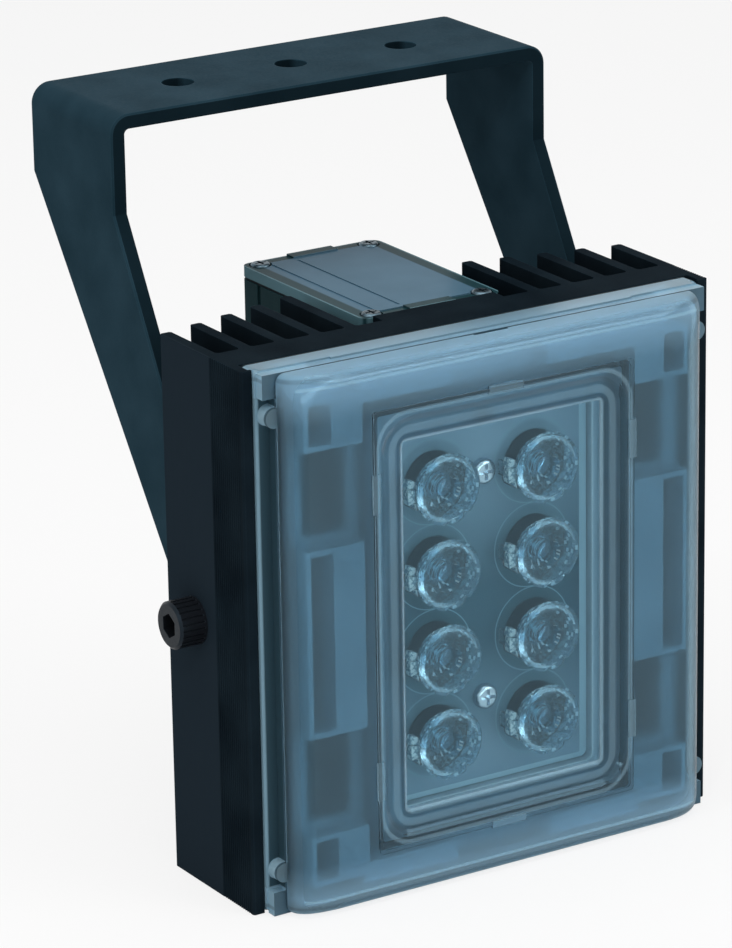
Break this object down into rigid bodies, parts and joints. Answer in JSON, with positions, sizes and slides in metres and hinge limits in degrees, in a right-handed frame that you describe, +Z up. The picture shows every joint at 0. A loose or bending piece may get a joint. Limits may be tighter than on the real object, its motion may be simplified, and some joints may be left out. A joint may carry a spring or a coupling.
{
  "type": "white light illuminator",
  "caption": "Square floodlight for cameras: finned heat sink, frosted front cover with clear window over round optics, rear driver housing and a tilting U bracket.",
  "frame": {"origin": "middle of the lamp in X, rear face of the heat sink's base in Y, lower end of the heat sink in Z", "axes": "+X along the pivot line, to the right as the front cover is looked at, +Y from the front cover towards the rear, +Z up towards the bracket's plate"},
  "size_m": [0.162, 0.1273, 0.201],
  "materials": {
    "anodised_black": "black anodised, satin",
    "housing_black": "black anodised, satin",
    "bracket_black": "black powder coat, fine texture",
    "black_steel": "blackened steel",
    "bright_steel": "zinc-plated steel",
    "cover_plastic": "frosted translucent polycarbonate with a clear window",
    "clear_plastic": "clear polycarbonate",
    "optic_plastic": "clear acrylic",
    "tray_plastic": "pale grey moulding",
    "board": "grey solder resist",
    "emitter": "phosphor-covered emitter",
    "thermal": "soft thermal sheet",
    "seal": "black rubber",
    "black_nylon": "black nylon"
  },
  "bodies": {
    "lamp": {"heat_sink": "anodised_black", "cover_seal": "seal", "front_cover": "cover_plastic", "lamp_board": "board", "thermal_sheet": "thermal", "tray": "tray_plastic", "driver_housing": "housing_black", "driver_board": "board", "top_end_seal": "seal", "bottom_end_seal": "seal", "top_end_cap": "clear_plastic", "bottom_end_cap": "clear_plastic", "gland_body": "black_nylon", "gland_locknut": "black_nylon", "gland_dome": "black_nylon", "gland_ring": "seal", "emitter_1": "emitter", "optic_1": "optic_plastic", "optic_holder_1": "optic_plastic", "emitter_2": "emitter", "optic_2": "optic_plastic", "optic_holder_2": "optic_plastic", "emitter_3": "emitter", "optic_3": "optic_plastic", "optic_holder_3": "optic_plastic", "emitter_4": "emitter", "optic_4": "optic_plastic", "optic_holder_4": "optic_plastic", "emitter_5": "emitter", "optic_5": "optic_plastic", "optic_holder_5": "optic_plastic", "emitter_6": "emitter", "optic_6": "optic_plastic", "optic_holder_6": "optic_plastic", "emitter_7": "emitter", "optic_7": "optic_plastic", "optic_holder_7": "optic_plastic", "emitter_8": "emitter", "optic_8": "optic_plastic", "optic_holder_8": "optic_plastic", "board_screw_1": "bright_steel", "board_screw_2": "bright_steel", "top_cap_screw_1": "bright_steel", "bottom_cap_screw_1": "bright_steel", "top_cap_screw_2": "bright_steel", "bottom_cap_screw_2": "bright_steel", "top_cap_screw_3": "bright_steel", "bottom_cap_screw_3": "bright_steel", "top_cap_screw_4": "bright_steel", "bottom_cap_screw_4": "bright_steel"},
    "bracket": {"bracket": "bracket_black", "pivot_screw_left": "black_steel", "pivot_screw_right": "black_steel", "friction_washer_left": "black_nylon", "friction_washer_right": "black_nylon"}
  },
  "joints": [
    {"name": "bracket_tilt", "type": "hinge", "parent": "lamp", "child": "bracket", "pos_m": [0, 0.0091, 0.075], "axis": [1, 0, 0], "range_deg": [-90, 25]}
  ]
}
